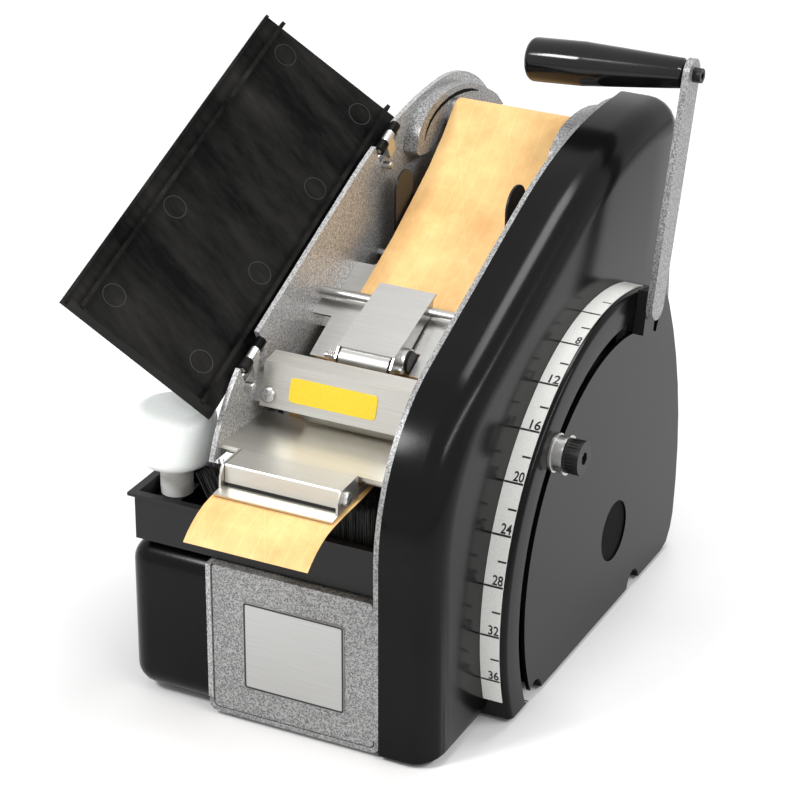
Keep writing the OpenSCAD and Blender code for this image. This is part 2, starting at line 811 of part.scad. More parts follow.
module bristle(x, y, ax, ay) {
    h = (bristle_top - brush_z - 11) / (cos(ax) * cos(ay));
    translate([x, y, brush_z + 10]) rotate([ax, ay, 0]) cylinder(h = h, r = 0.62, $fn = 4);
}

module brush_bristles() {
    color([0.03, 0.03, 0.03]) {
        translate([brush_x0, brush_y0, brush_z + 9])
            cube([brush_x1 - brush_x0, brush_y1 - brush_y0, 2]);
        for (i = [0:bristle_cols - 1], j = [0:bristle_rows - 1])
            bristle(brush_x0 + 2 + (brush_x1 - brush_x0 - 4) * i / (bristle_cols - 1),
                brush_y0 + 1.6 + (brush_y1 - brush_y0 - 3.2) * j / (bristle_rows - 1),
                7 - 14 * j / (bristle_rows - 1), 3 - 25 * pow(1 - i / (bristle_cols - 1), 2));
    }
}

module water_bottle() {
    color([0.90, 0.91, 0.90, 0.6]) translate([bottle_c[0], bottle_c[1], shoulder_z])
        rotate_extrude() difference() {
            bottle_profile(bottle_r, bottle_top - shoulder_z, 0);
            bottle_profile(bottle_r - 1.2, bottle_top - shoulder_z - 1.2, 1.2);
        }
}

module bottle_profile(r, h, z0) {
    polygon(concat([[0, z0], [r - 8, z0]],
        [for (i = [0:6]) [r - 8 + 8 * sin(15 * i), z0 + 8 - 8 * cos(15 * i)]],
        [for (i = [0:6]) [r - 8 + 8 * cos(15 * i), h - 8 + 8 * sin(15 * i)]],
        [[0, h]]));
}

module bottle_cap() {
    color([0.90, 0.91, 0.90]) difference() {
        translate([bottle_c[0], bottle_c[1], cap_z]) cylinder(h = shoulder_z - cap_z, r = cap_r);
        translate([bottle_c[0], bottle_c[1], cap_z - 1]) cylinder(h = 6, r = 4);
    }
}

// Lid

module lid_frame() {
    translate([lid_axis_x, lid_axis[0], lid_axis[1]]) rotate([top_slope, 0, 0]) children();
}

module lid() {
    color([0.06, 0.06, 0.065]) lid_frame() rotate([0, -lid_open, 0]) {
        translate([0, 0, lid_rise]) linear_extrude(lid_t)
            polygon([[0, 0], [lid_w, lid_skew], [lid_w - lid_taper, lid_len], [0, lid_len - 1]]);
        lid_strip(lid_w - 2, lid_w, lid_skew, lid_len, 1.5);
        lid_strip(lid_w - 12, lid_w - 9.6, lid_skew + 1, lid_len - 1, 7);
        translate([8.2, 1, lid_rise - 7]) cube([2.4, lid_len - 3, 7.5]);
        translate([0, 0, lid_rise - 6]) linear_extrude(6.5)
            polygon([[3, 0.1], [lid_w - 4, lid_skew - 0.1], [lid_w - 4, lid_skew + 1.9], [3, 2.1]]);
        for (u = lid_pins, s = [-1, 1]) difference() {
            union() {
                yrod(u + s * lid_arm_at - lid_arm_w / 2, u + s * lid_arm_at + lid_arm_w / 2,
                    0, 0, 3.2);
                translate([-1.5, u + s * lid_arm_at - lid_arm_w / 2, 1])
                    cube([4, lid_arm_w, lid_rise]);
            }
            yrod(u - 20, u + 20, 0, 0, lid_pin_r + run);
        }
    }
}

// A strip under the lid's panel, parallel to its tapered outer edge.
module lid_strip(w0, w1, u0, u1, h) {
    k = lid_taper / (lid_len - lid_skew);
    translate([0, 0, lid_rise - h]) linear_extrude(h + 0.5)
        polygon([[w0 - k * (u0 - lid_skew), u0], [w1 - k * (u0 - lid_skew), u0],
            [w1 - k * (u1 - lid_skew), u1], [w0 - k * (u1 - lid_skew), u1]]);
}

module lid_hinges() {
    color([0.60, 0.60, 0.61]) lid_frame() for (u = lid_pins) {
        yrod(u - lid_arm_at - lid_arm_w / 2 - 0.5, u + lid_arm_at + lid_arm_w / 2 + 0.5,
            0, 0, lid_pin_r);
        yrod(u - 4.2, u + 4.2, 0, 0, 2.9);
        translate([-0.8, u - 4.2, -12.3]) cube([2.4, 8.4, 12.8]);
    }
}

// Lever, grip and stop

module drive_stubs() {
    color([0.62, 0.62, 0.63]) {
        xrod(px_out, face_in - 0.5, [pivot_y, pivot_z], 8);
        xrod(px_out, belt1_x + belt_w + 2, [counter_y, counter_z], counter_r);
    }
}

module lever_hub() {
    color([0.55, 0.55, 0.56]) difference() {
        union() {
            xrod(hub_x0 - 1, hub_x1, [pivot_y, pivot_z], 14);
            xrod(belt1_x, belt1_x + belt_w, [pivot_y, pivot_z], pulley_big_r);
            yz(hub_x1 - arm_t, arm_t) translate([pivot_y, pivot_z]) rotate(lever_at)
                translate([0, -7]) square([slot_r, 14]);
            xrod(hub_x1 - arm_t, hub_x1, slot_foot, 7);
        }
        xrod(px_in, face_x, [pivot_y, pivot_z], 8 + run);
    }
}

module slot_block() {
    color([0.07, 0.07, 0.075]) translate([0, slot_foot[0], slot_foot[1]])
        rotate([lever_at, 0, 0]) {
            translate([hub_x1, -(slot_w - 1) / 2, -6]) cube([face_x - hub_x1 + 1, slot_w - 1, 12]);
            translate([face_x + 0.3, -slot_w / 2, -8]) cube([block_h, lever_out + slot_w / 2 + 8, 16]);
        }
}

module lever_arm() {
    color([0.36, 0.37, 0.38]) difference() {
        translate([0, lever_foot[0], lever_foot[1]]) rotate([lever_lean, 0, 0])
            yz(bar_x0, lever_t) {
                translate([0, -lever_w / 2]) square([lever_len, lever_w]);
                circle(r = lever_w / 2);
                translate([lever_len, 0]) circle(r = lever_w / 2);
            }
        xrod(bar_x0 - 1, bar_x1 + 1, grip_c, grip_pin_r);
    }
}

// The grip's own frame: X runs along its drooping axis, from the lever bar.
module grip_frame() {
    translate([bar_x0, grip_c[0], grip_c[1]]) rotate([0, -grip_droop, 0]) children();
}

module grip_pin() {
    color([0.10, 0.10, 0.10]) {
        grip_frame() xrod(12 - grip_len, -0.5, [0, 0], grip_pin_r);
        xrod(bar_x0 - 1.5, bar_x1, grip_c, grip_pin_r - 0.8);
        xrod(bar_x0, bar_x1, grip_c, grip_pin_r);
        difference() {
            xrod(bar_x1, bar_x1 + 5, grip_c, grip_pin_r + 0.4);
            translate([bar_x1 + 2.5, grip_c[0], grip_c[1]]) rotate([0, 90, 0])
                cylinder(h = 4, r = 2.4, $fn = 6);
        }
    }
}

module grip() {
    color([0.05, 0.05, 0.055]) grip_frame() difference() {
        translate([-1.3 - grip_len, 0, 0]) rotate([90, 0, 90]) rotate_extrude()
            polygon(concat([[0, 0]],
                [for (i = [0:6]) [grip_r - 4 + 4 * sin(15 * i), 4 - 4 * cos(15 * i)]],
                [[grip_r, 35], [grip_r - 0.4, 40]],
                [[grip_r2, grip_len - 2], [grip_r2 - 1.5, grip_len], [0, grip_len]]));
        xrod(11 - grip_len, 1, [0, 0], grip_pin_r + run);
    }
}

module stop_spacer() {
    color([0.72, 0.72, 0.73]) {
        xrod(face_x + 0.2, face_x + 1.6, stop_c, 11.5);
        xrod(face_x + 1.6, face_x + 7.4, stop_c, 10.6);
        xrod(face_x + 7.4, face_x + 8.6, stop_c, 11.6);
        xrod(hub_x1 + 0.5, face_x + 0.2, stop_c, slot_w / 2 - 0.5);
        xrod(hub_x1 + 0.5, face_in - 0.3, stop_c, 7);
        xrod(face_x + 8, face_x + stop_h - 6.5, stop_c, stop_stud_r);
    }
}

module stop_knob() {
    color([0.08, 0.08, 0.085]) difference() {
        xrod(face_x + 8.9, face_x + stop_h, stop_c, 10.2);
        xrod(face_x + 8, face_x + stop_h - 6.2, stop_c, stop_stud_r + run);
        translate([face_x + stop_h - 5, stop_c[0], stop_c[1]]) rotate([0, 90, 0])
            cylinder(h = 9, r = 4, $fn = 6);
        for (i = [0:29]) translate([face_x + 10, stop_c[0], stop_c[1]]) rotate([12 * i, 0, 0])
            translate([0, -0.4, 9.8]) cube([stop_h - 12, 0.8, 1]);
    }
}

// Drive inside the crank cover

module counter_pulley() {
    color([0.20, 0.20, 0.21]) difference() {
        union() {
            xrod(belt1_x, belt1_x + belt_w, [counter_y, counter_z], pulley_small_r);
            xrod(belt2_x, belt2_x + belt_w, [counter_y, counter_z], pulley2_big_r);
            xrod(belt2_x, belt1_x + 1, [counter_y, counter_z], 7);
        }
        xrod(px_in, face_x, [counter_y, counter_z], counter_r + run);
    }
}

module feed_shaft() {
    color([0.62, 0.62, 0.63]) xrod(-px_out - 2, belt2_x + belt_w + 2, [feed_y, feed_z], feed_shaft_r);
}

module feed_pulley() {
    color([0.20, 0.20, 0.21]) difference() {
        xrod(belt2_x, belt2_x + belt_w, [feed_y, feed_z], pulley2_small_r);
        xrod(px_in, face_x, [feed_y, feed_z], feed_shaft_r);
    }
}

module feed_wheel() {
    color([0.11, 0.11, 0.12]) difference() {
        union() {
            xrod(-15, 15, [feed_y, feed_z], wheel_r);
            xrod(-19, 19, [feed_y, feed_z], 8);
        }
        xrod(-30, 30, [feed_y, feed_z], feed_shaft_r);
    }
}

module belt_loop(x0, c0, r0, c1, r1) {
    yz(x0, belt_w) difference() {
        hull() {
            translate(c0) circle(r = r0 + 0.3 + belt_t);
            translate(c1) circle(r = r1 + 0.3 + belt_t);
        }
        hull() {
            translate(c0) circle(r = r0 + 0.3);
            translate(c1) circle(r = r1 + 0.3);
        }
    }
}

module drive_belts() {
    color([0.10, 0.10, 0.10]) {
        belt_loop(belt1_x, [pivot_y, pivot_z], pulley_big_r, [counter_y, counter_z],
            pulley_small_r);
        belt_loop(belt2_x, [counter_y, counter_z], pulley2_big_r, [feed_y, feed_z],
            pulley2_small_r);
    }
}

place() {
    base_pan();
    left_side_plate();
    right_side_plate();
    front_panel();
    name_plate();
    feet();
    cross_rods();
    left_housing();
    cord_gland();
    right_cover();
    scale_strip();
    rear_panel();
    bar_brackets();
    top_guide_bar();
    tape_guide();
    tape_bed();
    blade_guard();
    guard_label();
    guard_screws();
    blade_bar();
    fixed_blade();
    blade_guides();
    platen();
    lid_hinges();
    drive_stubs();
    drive_belts();
    roll_axle();
    tape_web();
    tape_tongue();
    lever_hub();
    slot_block();
    lever_arm();
    grip_pin();
    grip();
    counter_pulley();
    feed_shaft();
    feed_pulley();
    feed_wheel();
    pressure_roller();
    roller_hood();
    roller_axle();
    hood_spring();
    tape_roll();
    roll_core();
    roll_hubs();
    stop_spacer();
    stop_knob();
    lid();
    heater_block();
    heater_element();
    u_bracket();
    bracket_screws();
    moving_blade();
    left_guide_fin();
    right_guide_fin();
    water_tank();
    brush_holder();
    brush_bristles();
    water_bottle();
    bottle_cap();
}
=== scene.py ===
import json
import math
import random
import bmesh
import bpy
from mathutils import Matrix, Vector


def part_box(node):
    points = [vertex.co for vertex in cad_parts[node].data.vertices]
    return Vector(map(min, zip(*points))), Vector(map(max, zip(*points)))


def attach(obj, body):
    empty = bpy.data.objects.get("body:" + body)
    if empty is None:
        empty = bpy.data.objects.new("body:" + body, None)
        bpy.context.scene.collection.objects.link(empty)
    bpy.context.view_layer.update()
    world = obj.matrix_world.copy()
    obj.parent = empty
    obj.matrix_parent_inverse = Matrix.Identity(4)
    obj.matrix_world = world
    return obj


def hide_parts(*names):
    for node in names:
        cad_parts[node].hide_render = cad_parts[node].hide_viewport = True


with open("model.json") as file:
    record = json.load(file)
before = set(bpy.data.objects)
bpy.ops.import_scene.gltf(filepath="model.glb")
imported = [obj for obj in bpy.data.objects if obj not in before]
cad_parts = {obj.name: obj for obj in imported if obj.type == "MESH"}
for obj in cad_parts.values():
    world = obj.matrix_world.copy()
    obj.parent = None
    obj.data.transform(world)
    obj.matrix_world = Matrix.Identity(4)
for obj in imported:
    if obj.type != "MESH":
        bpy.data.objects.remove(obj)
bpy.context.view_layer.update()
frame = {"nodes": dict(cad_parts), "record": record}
NODES = frame["nodes"]

# The machine frame used below has X = 0 midway between the side plates, Y = 0 at
# the plates' front edges and Z = 0 on the table, in millimetres.
plate_lo, plate_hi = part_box("left_side_plate")
right_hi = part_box("right_side_plate")[1]
ORIGIN = Vector(((plate_lo[0] + right_hi[0]) / 2, plate_lo[1], 0.0))
MM = 1000.0


def mm(x, y, z):
    return ORIGIN + Vector((x, y, z)) / MM


# ---------------------------------------------------------------- materials

def srgb(r, g, b):
    def lin(c):
        c /= 255.0
        return c / 12.92 if c <= 0.04045 else ((c + 0.055) / 1.055) ** 2.4
    return (lin(r), lin(g), lin(b), 1.0)


class Mat:
    """A procedural material built node by node."""

    def __init__(self, name, rough=0.5, metal=0.0):
        self.m = bpy.data.materials.new(name)
        self.m.use_nodes = True
        self.t = self.m.node_tree
        self.b = self.t.nodes["Principled BSDF"]
        self.b.inputs["Roughness"].default_value = rough
        self.b.inputs["Metallic"].default_value = metal
        tc = self.t.nodes.new("ShaderNodeTexCoord")
        self.co = tc.outputs["Object"]

    def node(self, kind, **values):
        n = self.t.nodes.new(kind)
        for k, v in values.items():
            if hasattr(n, k) and not k[0].isupper():
                setattr(n, k, v)
            else:
                n.inputs[k.replace("_", " ")].default_value = v
        return n

    def link(self, a, b):
        self.t.links.new(a, b)

    def scaled(self, sx, sy, sz, rot=(0, 0, 0)):
        n = self.node("ShaderNodeMapping")
        n.inputs["Scale"].default_value = (sx, sy, sz)
        n.inputs["Rotation"].default_value = rot
        self.link(self.co, n.inputs["Vector"])
        return n.outputs["Vector"]

    def noise(self, scale, detail=3.0, rough=0.5, vector=None):
        n = self.node("ShaderNodeTexNoise", Scale=scale, Detail=detail, Roughness=rough)
        self.link(vector or self.co, n.inputs["Vector"])
        return n.outputs["Fac"]

    def ramp(self, fac, *stops):
        n = self.node("ShaderNodeValToRGB")
        el = n.color_ramp.elements
        while len(el) < len(stops):
            el.new(0.5)
        for e, (p, c) in zip(el, stops):
            e.position = p
            e.color = c if len(c) == 4 else (*c, 1.0)
        self.link(fac, n.inputs["Fac"])
        return n.outputs["Color"]

    def bump(self, height, strength, distance):
        n = self.node("ShaderNodeBump", Strength=strength, Distance=distance)
        self.link(height, n.inputs["Height"])
        last = self.b.inputs["Normal"].links
        if last:
            self.link(last[0].from_socket, n.inputs["Normal"])
        self.link(n.outputs["Normal"], self.b.inputs["Normal"])

    def colour(self, socket):
        self.link(socket, self.b.inputs["Base Color"])

    def rough_from(self, fac, lo, hi):
        n = self.node("ShaderNodeMapRange")
        n.inputs["To Min"].default_value = lo
        n.inputs["To Max"].default_value = hi
        self.link(fac, n.inputs["Value"])
        self.link(n.outputs["Result"], self.b.inputs["Roughness"])


def grey(v):
    return (v, v, v, 1.0)


def hammertone(name, dark, mid, light):
    """Grey paint with a fine hammered grain."""
    k = Mat(name, 0.38, 0.35)
    v = k.node("ShaderNodeTexVoronoi", feature="SMOOTH_F1", Scale=950.0)
    k.link(k.co, v.inputs["Vector"])
    n = k.noise(1700.0, 2.0)
    mix = k.node("ShaderNodeMath", operation="MULTIPLY_ADD")
    k.link(v.outputs["Distance"], mix.inputs[0])
    mix.inputs[1].default_value = 0.8
    k.link(n, mix.inputs[2])
    k.colour(k.ramp(mix.outputs[0], (0.40, grey(dark)), (0.72, grey(mid)), (1.0, grey(light))))
    k.bump(mix.outputs[0], 0.30, 0.0004)
    return k.m


def black_paint(name, rough, grain, base=0.004, shine=0.22):
    """Black enamel or moulded plastic, with a slightly uneven gloss."""
    k = Mat(name, rough)
    k.b.inputs["Specular IOR Level"].default_value = shine
    n = k.noise(1500.0, 2.0)
    k.bump(n, 0.10 * grain, 0.0004)
    w = k.noise(14.0, 4.0, 0.6)
    k.rough_from(w, rough - 0.05, rough + 0.07)
    k.colour(k.ramp(w, (0.35, grey(base * 0.8)), (0.7, grey(base * 1.4))))
    return k.m


def scuffed_with_painted_sheen(name):
    """Black moulded plastic with handling marks and a slightly wavy gloss; the lighter patches in
    its colour are partly painted sheen.
    """
    k = Mat(name, 0.3)
    k.b.inputs["Specular IOR Level"].default_value = 0.05
    wear_and_sheen = k.noise(9.0, 8.0, 0.72, k.scaled(1.0, 3.5, 1.0, (0, 0, 0.5)))
    # Painted sheen: the lighter stops of this ramp stand in for glossier patches, together with
    # real handling marks.
    k.colour(k.ramp(wear_and_sheen, (0.38, (0.0015, 0.0015, 0.0015)), (0.60, (0.015, 0.0145, 0.0135)),
                    (0.78, (0.030, 0.028, 0.026))))
    k.rough_from(wear_and_sheen, 0.16, 0.58)
    k.bump(k.noise(1300.0, 2.0), 0.12, 0.0004)
    k.bump(k.noise(22.0, 3.0), 0.25, 0.0012)
    return k.m


def brushed(name, base, rough):
    """Sheet metal with a fine grain that runs across the machine."""
    k = Mat(name, rough, 1.0)
    n = k.noise(6.0, 5.0, 0.65, k.scaled(4.0, 400.0, 400.0))
    dark = tuple(c * 0.86 for c in base)
    light = tuple(min(c * 1.06, 1) for c in base)
    k.colour(k.ramp(n, (0.3, dark), (0.7, light)))
    k.rough_from(n, rough - 0.07, rough + 0.10)
    k.bump(n, 0.12, 0.0003)
    return k.m


THREAD_STEP, THREAD_HALF = 0.0048, 0.00028
CROSS_STEP, CROSS_HALF, CROSS_SLANT = 0.017, 0.00022, 0.55
THREAD_SHOW = 0.16


def kraft():
    """Brown gummed paper with faint reinforcing threads along it and a few that cross it."""
    k = Mat("kraft_paper", 0.50)
    fine = k.noise(900.0, 4.0, 0.7)
    broad = k.noise(26.0, 5.0, 0.7)
    col = k.ramp(broad, (0.3, srgb(222, 168, 104)[:3]), (0.7, srgb(246, 206, 138)[:3]))
    sep = k.node("ShaderNodeSeparateXYZ")
    k.link(k.co, sep.inputs[0])

    def math_node(kind, *inputs):
        n = k.node("ShaderNodeMath", operation=kind)
        for i, v in enumerate(inputs):
            if isinstance(v, float):
                n.inputs[i].default_value = v
            else:
                k.link(v, n.inputs[i])
        return n.outputs[0]

    def lines(across, step, half):
        return math_node("LESS_THAN", math_node("PINGPONG", across, step), half)

    slant = math_node("MULTIPLY_ADD", sep.outputs["Y"], CROSS_SLANT, sep.outputs["X"])
    both = math_node("MAXIMUM", lines(sep.outputs["X"], THREAD_STEP, THREAD_HALF),
                     lines(slant, CROSS_STEP, CROSS_HALF))
    mix = k.node("ShaderNodeMix", data_type="RGBA")
    k.link(math_node("MULTIPLY", both, THREAD_SHOW), mix.inputs["Factor"])
    k.link(col, mix.inputs[6])
    mix.inputs[7].default_value = srgb(255, 236, 188)
    k.colour(mix.outputs[2])
    k.bump(fine, 0.10, 0.0003)
    k.bump(k.noise(30.0, 2.0), 0.25, 0.002)
    return k.m


def plain(name, rgba, rough, depth=0.06):
    """One colour with a fine grain."""
    k = Mat(name, rough)
    n = k.noise(900.0, 3.0)
    lo = tuple(c * 0.93 for c in rgba[:3])
    hi = tuple(min(c * 1.05, 1.0) for c in rgba[:3])
    k.colour(k.ramp(n, (0.3, lo), (0.7, hi)))
    k.bump(n, depth, 0.0003)
    return k.m


M = {
    # One hammertone paint in a shaded and a lit copy: the lighter one is painted light for the
    # left side plate, whose inner face is lit more brightly than the darker front panel.
    "hammertone": hammertone("hammertone", 0.045, 0.17, 0.38),
    "hammertone_painted_lit": hammertone("hammertone_painted_lit", 0.075, 0.27, 0.52),
    "plate_silver": brushed("plate_silver", (0.50, 0.50, 0.49), 0.40),
    "black_gloss": black_paint("black_gloss", 0.17, 0.6, 0.003, 0.13),
    "black_matte": black_paint("black_matte", 0.40, 2.0, 0.006, 0.3),
    "aluminium": brushed("aluminium", (0.60, 0.585, 0.54), 0.38),
    "steel": brushed("steel", (0.56, 0.555, 0.54), 0.30),
    "rubber": plain("rubber", (0.015, 0.015, 0.015, 1), 0.75),
    "pulley_plastic": plain("pulley_plastic", (0.03, 0.03, 0.03, 1), 0.6),
    "kraft": kraft(),
    "core_board": plain("core_board", srgb(170, 140, 100), 0.8),
    "white_scale": plain("white_scale", srgb(238, 238, 234), 0.4, depth=0.03),
    "yellow_label": plain("yellow_label", srgb(244, 208, 50), 0.34, depth=0.03),
    "bristle": plain("bristle", (0.006, 0.006, 0.006, 1), 0.6),
    "bottle_white": plain("bottle_white", srgb(253, 252, 248), 0.35, depth=0.02),
    "print_black": plain("print_black", (0.012, 0.012, 0.012, 1), 0.45, depth=0.02),
    "lid": scuffed_with_painted_sheen("lid_plastic"),
    "lid_mark": black_paint("lid_mark", 0.28, 1.0, 0.010, 0.35),
    "grip": black_paint("grip_plastic", 0.10, 0.2, 0.004, 0.35),
    # This matt black is the dimple's floor and also paints the shadow strip on the left bracket.
    "dimple": black_paint("dimple_and_painted_shadow", 0.7, 3.0, 0.005, 0.05),
}
bottle = M["bottle_white"].node_tree.nodes["Principled BSDF"]
bottle.inputs["Subsurface Weight"].default_value = 0.15
bottle.inputs["Subsurface Scale"].default_value = 0.006

LOOK_OF = {s["node"]: s["material_slot"] for s in frame["record"]["subparts"]}
# The left side plate takes the lighter, painted-light copy of the hammertone.
LOOK_OF.update(lid="lid", grip="grip", left_side_plate="hammertone_painted_lit")
for name, obj in NODES.items():
    obj.data.materials.clear()
    obj.data.materials.append(M[LOOK_OF[name]])

# ---------------------------------------------------------------- smoothing

WELD = 0.000004
SMOOTH_ANGLE = math.radians(32)


def smooth_group(angle):
    """A geometry node group that welds split corners and smooths faces up to an angle."""
    g = bpy.data.node_groups.new("smooth_%d" % round(math.degrees(angle)), "GeometryNodeTree")
    g.interface.new_socket("Geometry", in_out="INPUT", socket_type="NodeSocketGeometry")
    g.interface.new_socket("Geometry", in_out="OUTPUT", socket_type="NodeSocketGeometry")
    n_in, n_out = g.nodes.new("NodeGroupInput"), g.nodes.new("NodeGroupOutput")
    weld = g.nodes.new("GeometryNodeMergeByDistance")
    weld.inputs["Distance"].default_value = WELD
    faces = g.nodes.new("GeometryNodeSetShadeSmooth")
    faces.domain = "FACE"
    edges = g.nodes.new("GeometryNodeSetShadeSmooth")
    edges.domain = "EDGE"
    fold = g.nodes.new("GeometryNodeInputMeshEdgeAngle")
    low = g.nodes.new("FunctionNodeCompare")
    low.data_type, low.operation = "FLOAT", "LESS_EQUAL"
    g.links.new(fold.outputs["Unsigned Angle"], low.inputs[0])
    low.inputs[1].default_value = angle
    g.links.new(n_in.outputs[0], weld.inputs[0])
    g.links.new(weld.outputs[0], faces.inputs[0])
    g.links.new(faces.outputs[0], edges.inputs[0])
    g.links.new(low.outputs[0], edges.inputs["Shade Smooth"])
    g.links.new(edges.outputs[0], n_out.inputs[0])
    return g


SMOOTH = smooth_group(SMOOTH_ANGLE)


def smooth(obj):
    """Drops the stored normals and adds the smoothing modifier."""
    me = obj.data
    for a in ("custom_normal", "sharp_edge", "sharp_face"):
        if a in me.attributes:
            me.attributes.remove(me.attributes[a])
    mod = obj.modifiers.new("smooth", "NODES")
    mod.node_group = SMOOTH


for obj in NODES.values():
    smooth(obj)

# ---------------------------------------------------------------- pieces of the scene

def piece(name, verts, faces, body, mat):
    """A mesh that rides on a body and its material."""
    me = bpy.data.meshes.new(name)
    me.from_pydata([tuple(v) for v in verts], [], faces)
    me.validate()
    me.update()
    ob = bpy.data.objects.new(name, me)
    bpy.context.scene.collection.objects.link(ob)
    me.materials.append(mat)
    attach(ob, body)
    return ob


# The scale: its strip lies on the rim of the boss, round the lever's pivot.
PIVOT = (207.0, 58.0)
strip_lo, strip_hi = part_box("scale_strip")
RIM = strip_hi.z * MM - PIVOT[1]
RIM_X0 = (strip_lo.x - ORIGIN.x) * MM
RIM_X1 = (strip_hi.x - ORIGIN.x) * MM
PRINT_LOW, PRINT_HIGH = 0.01, 0.05


def rim(x, a, h):
    """The point at x and angle a, h above the strip."""
    r = RIM + h
    return mm(x, PIVOT[0] + r * math.cos(a), PIVOT[1] + r * math.sin(a))


def rim_bar(verts, faces, x0, x1, a, w):
    """A printed line across the scale, as a thin closed strip."""
    k = len(verts)
    half = w / 2 / RIM
    for i in range(4):
        t = a - half + 2 * half * i / 3
        for x, h in ((x0, PRINT_LOW), (x1, PRINT_LOW), (x1, PRINT_HIGH), (x0, PRINT_HIGH)):
            verts.append(rim(x, t, h))
    for i in range(3):
        p, q = k + 4 * i, k + 4 * i + 4
        for j in range(4):
            faces.append((p + j, q + j, q + (j + 1) % 4, p + (j + 1) % 4))
    faces.append((k, k + 1, k + 2, k + 3))
    faces.append((k + 15, k + 14, k + 13, k + 12))


MARKS = [(96.7, ""), (108.5, "8"), (120.6, "12"), (132.3, "16"), (144.2, "20"), (155.6, "24"),
         (166.9, "28"), (178.4, "32"), (189.9, "36")]
MARK_STEP = 11.8
LINE_END = RIM_X1 - 0.05
HALF_LINE = RIM_X1 - 0.45 * (RIM_X1 - RIM_X0)
verts, faces = [], []
for i, (deg, label) in enumerate(MARKS):
    rim_bar(verts, faces, RIM_X0 + 0.1, LINE_END, math.radians(deg), 1.2)
    prev = MARKS[i - 1][0] if i else deg - MARK_STEP
    rim_bar(verts, faces, HALF_LINE, LINE_END, math.radians((deg + prev) / 2), 1.1)
piece("scale_lines", verts, faces, "frame", M["print_black"])

DIGIT_W, DIGIT_H, DIGIT_DROP, DIGIT_CUTS = 3.2, 6.0, 0.9, 7


def scale_number(deg, label):
    """Flat figures wrapped onto the strip below the mark at deg."""
    cu = bpy.data.curves.new("digits", "FONT")
    cu.body = label
    cu.size = 8.4
    cu.offset = 0.17
    cu.resolution_u = 4
    tmp = bpy.data.objects.new("digits", cu)
    bpy.context.scene.collection.objects.link(tmp)
    bpy.context.view_layer.update()
    me = bpy.data.meshes.new_from_object(tmp.evaluated_get(bpy.context.evaluated_depsgraph_get()))
    bpy.data.objects.remove(tmp)
    bm = bmesh.new()
    bm.from_mesh(me)
    bmesh.ops.remove_doubles(bm, verts=bm.verts, dist=0.0001)
    x0, x1 = min(v.co.x for v in bm.verts), max(v.co.x for v in bm.verts)
    y0, y1 = min(v.co.y for v in bm.verts), max(v.co.y for v in bm.verts)
    for k in range(1, DIGIT_CUTS):
        y = y0 + (y1 - y0) * k / DIGIT_CUTS
        bmesh.ops.bisect_plane(bm, geom=bm.verts[:] + bm.edges[:] + bm.faces[:],
                               plane_co=(0, y, 0), plane_no=(0, 1, 0))
    wide = DIGIT_W * len(label)
    for v in bm.verts:
        u = (v.co.x - x0) / (x1 - x0) * wide
        w = (v.co.y - y0) / (y1 - y0) * DIGIT_H
        v.co = rim(RIM_X1 - 0.5 - wide + u, math.radians(deg) - (DIGIT_DROP + w) / RIM, PRINT_HIGH)
    bm.to_mesh(me)
    bm.free()
    ob = bpy.data.objects.new("scale_number_" + label, me)
    bpy.context.scene.collection.objects.link(ob)
    me.materials.clear()
    me.materials.append(M["print_black"])
    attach(ob, "frame")


for deg, label in MARKS:
    if label:
        scale_number(deg, label)


def disk(name, c, axis, r, h, body, mat, sides=40, r_in=0.0, bevel=0.0):
    """A short round piece from c along axis; with r_in a ring."""
    axis = Vector(axis).normalized()
    a = axis.orthogonal().normalized()
    b = axis.cross(a)
    rim_end = [(r, h - bevel), (r - bevel, h)] if bevel else [(r, h)]
    prof = [(r_in, 0.0), (r, 0.0)] + rim_end + [(r_in, h)]
    k = len(prof)
    vs, fs = [], []
    for i in range(sides):
        t = 2 * math.pi * i / sides
        for q, z in prof:
            vs.append(Vector(c) + (a * math.cos(t) + b * math.sin(t)) * q + axis * z)
    for i in range(sides):
        j = (i + 1) % sides
        for e in range(k if r_in else k - 1):
            f = (e + 1) % k
            fs.append((i * k + e, j * k + e, j * k + f, i * k + f))
    ob = piece(name, vs, fs, body, mat)
    bm = bmesh.new()
    bm.from_mesh(ob.data)
    bmesh.ops.remove_doubles(bm, verts=bm.verts, dist=1e-7)
    bmesh.ops.recalc_face_normals(bm, faces=bm.faces)
    bm.to_mesh(ob.data)
    bm.free()
    smooth(ob)
    return ob


# The matt disk at the bottom of the round dimple in the boss.
face = (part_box("right_cover")[1].x - ORIGIN.x) * MM
dimple_deep = 1.2
disk("boss_dimple", mm(face - dimple_deep, 213, 56), (1, 0, 0), 0.0187, 0.00008, "frame",
     M["dimple"], 64)

# Bright studs inside the left plate, and the button on the hood's right cheek.
plate_face = (plate_hi.x - ORIGIN.x) * MM
for i, (y, z) in enumerate(((215.5, 264.2), (45.4, 191.5))):
    disk("plate_stud_%d" % (i + 1), mm(plate_face, y, z), (1, 0, 0), 0.0024, 0.0055, "frame",
         M["steel"], 24, bevel=0.0005)
hood_face = (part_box("roller_hood")[1].x - ORIGIN.x) * MM
disk("hood_button", mm(hood_face, 104.5, 196), (1, 0, 0), 0.0068, 0.0014,
     "hood", M["black_matte"], 36, bevel=0.0006)

